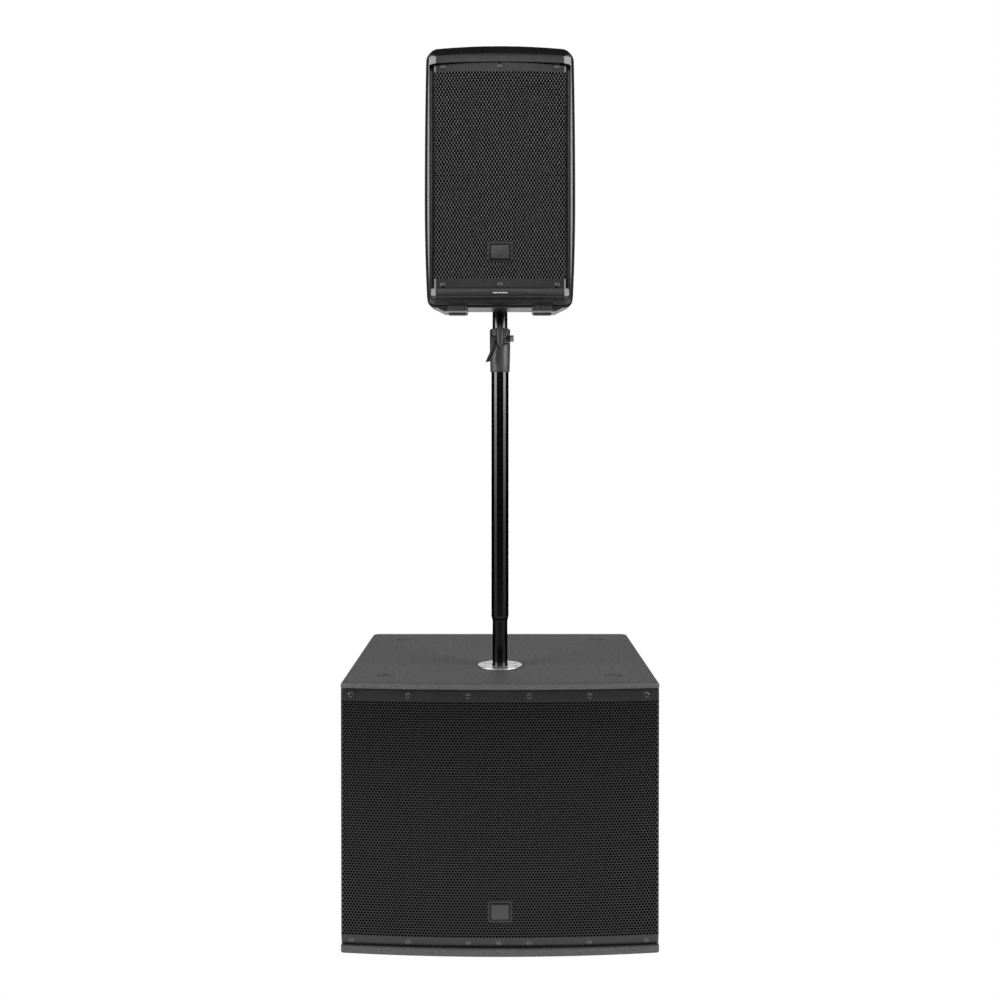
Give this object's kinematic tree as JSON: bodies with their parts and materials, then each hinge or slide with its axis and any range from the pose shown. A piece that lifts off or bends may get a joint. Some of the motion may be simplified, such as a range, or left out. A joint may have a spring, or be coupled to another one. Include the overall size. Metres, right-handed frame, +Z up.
{
  "type": "pa speaker",
  "caption": "Full-range loudspeaker on a telescopic pole that stands in the top cup of a bowed-front subwoofer.",
  "frame": {"origin": "on the floor, under the middle of the subwoofer's box", "axes": "+Z up along the pole, -Y towards the listener (the grilles face it), +X to the listener's right"},
  "size_m": [0.7, 0.65, 2],
  "materials": {
    "board_paint": "black textured paint on plywood",
    "grille_paint": "satin black powder coat",
    "badge": "dark satin plate, blank",
    "moulding": "fine-grained black moulding",
    "control_plastic": "smooth black",
    "rubber": "matte black",
    "cup_steel": "bright zinc",
    "tube_steel": "gloss black",
    "bolt_steel": "zinc plated",
    "cone_paper": "treated paper",
    "magnet": "coated ferrite and steel",
    "basket_steel": "black pressed steel",
    "panel_plate": "black anodised",
    "module": "circuit board and heat sink block",
    "lamp": "white diffuser"
  },
  "bodies": {
    "sub": {"sub_top_panel": "board_paint", "sub_bottom_panel": "board_paint", "sub_left_panel": "board_paint", "sub_right_panel": "board_paint", "sub_rear_panel": "board_paint", "sub_baffle": "board_paint", "sub_grille": "grille_paint", "sub_badge": "badge", "sub_woofer_basket": "basket_steel", "sub_woofer_magnet": "magnet", "sub_woofer_surround": "rubber", "sub_pole_cup": "cup_steel", "sub_amp_panel": "panel_plate", "sub_amp_module": "module", "sub_mains_inlet": "control_plastic", "sub_input_jack": "control_plastic", "sub_thru_jack": "control_plastic", "sub_handle_left": "moulding", "sub_handle_right": "moulding", "sub_foot_front_left": "rubber", "sub_foot_front_right": "rubber", "sub_foot_rear_left": "rubber", "sub_foot_rear_right": "rubber"},
    "sub_cone": {"sub_woofer_cone": "cone_paper"},
    "sub_gain": {"sub_gain_knob": "control_plastic"},
    "sub_polarity": {"sub_polarity_button": "control_plastic"},
    "sub_switch": {"sub_power_switch": "control_plastic"},
    "lower_pole": {"pole_lower_tube": "tube_steel", "pole_collar": "moulding", "pole_clamp_ring": "moulding", "pole_guide_bush": "moulding", "pole_clamp_bolt": "bolt_steel"},
    "clamp_lever": {"pole_clamp_lever": "moulding"},
    "upper_pole": {"pole_upper_tube": "tube_steel"},
    "speaker": {"speaker_front_shell": "moulding", "speaker_rear_shell": "moulding", "speaker_grille": "grille_paint", "speaker_badge": "badge", "power_light": "lamp", "speaker_handle": "moulding", "woofer_basket": "basket_steel", "woofer_magnet": "magnet", "woofer_surround": "rubber", "horn_waveguide": "moulding", "compression_driver": "magnet", "speaker_amp_panel": "panel_plate", "speaker_amp_module": "module", "speaker_mains_inlet": "control_plastic", "input_jack_1": "control_plastic", "input_jack_2": "control_plastic", "thru_jack": "control_plastic", "speaker_pole_socket": "tube_steel", "speaker_foot_left": "rubber", "speaker_foot_right": "rubber", "speaker_foot_rear": "rubber"},
    "woofer_cone": {"woofer_cone": "cone_paper"},
    "gain_1": {"gain_knob_1": "control_plastic"},
    "gain_2": {"gain_knob_2": "control_plastic"},
    "eq": {"eq_button": "control_plastic"},
    "speaker_switch": {"speaker_power_switch": "control_plastic"}
  },
  "joints": [
    {"name": "pole_turn", "type": "hinge", "parent": "sub", "child": "lower_pole", "pos_m": [0, -0.125, 0.6], "axis": [0, 0, 1], "continuous": true},
    {"name": "pole_extend", "type": "slide", "parent": "lower_pole", "child": "upper_pole", "axis": [0, 0, 1], "range_m": [-0.025, 0.4]},
    {"name": "clamp_lever_turn", "type": "hinge", "parent": "lower_pole", "child": "clamp_lever", "pos_m": [0, -0.16, 1.3656], "axis": [1, 0, 0], "range_deg": [-110, 0]},
    {"name": "speaker_swivel", "type": "hinge", "parent": "upper_pole", "child": "speaker", "pos_m": [0, -0.125, 1.4255], "axis": [0, 0, 1], "continuous": true},
    {"name": "woofer_cone_travel", "type": "slide", "parent": "speaker", "child": "woofer_cone", "axis": [0, -1, 0], "range_m": [-0.005, 0.005], "stiffness_N_per_m": 3000},
    {"name": "gain_1_turn", "type": "hinge", "parent": "speaker", "child": "gain_1", "pos_m": [-0.045, 0.0167, 1.655], "axis": [0, 1, 0], "range_deg": [-150, 150]},
    {"name": "gain_2_turn", "type": "hinge", "parent": "speaker", "child": "gain_2", "pos_m": [0.045, 0.0167, 1.655], "axis": [0, 1, 0], "range_deg": [-150, 150]},
    {"name": "eq_press", "type": "slide", "parent": "speaker", "child": "eq", "axis": [0, -1, 0], "range_m": [0, 0.002], "stiffness_N_per_m": 250},
    {"name": "speaker_switch_rock", "type": "hinge", "parent": "speaker", "child": "speaker_switch", "pos_m": [-0.004, 0.0167, 1.56], "axis": [1, 0, 0], "range_deg": [-14, 0]},
    {"name": "sub_cone_travel", "type": "slide", "parent": "sub", "child": "sub_cone", "axis": [0, -1, 0], "range_m": [-0.01, 0.01], "stiffness_N_per_m": 7000},
    {"name": "sub_gain_turn", "type": "hinge", "parent": "sub", "child": "sub_gain", "pos_m": [-0.05, 0.3135, 0.3], "axis": [0, 1, 0], "range_deg": [-150, 150]},
    {"name": "sub_polarity_press", "type": "slide", "parent": "sub", "child": "sub_polarity", "axis": [0, -1, 0], "range_m": [0, 0.002], "stiffness_N_per_m": 250},
    {"name": "sub_switch_rock", "type": "hinge", "parent": "sub", "child": "sub_switch", "pos_m": [0.02, 0.3135, 0.18], "axis": [1, 0, 0], "range_deg": [-14, 0]}
  ]
}
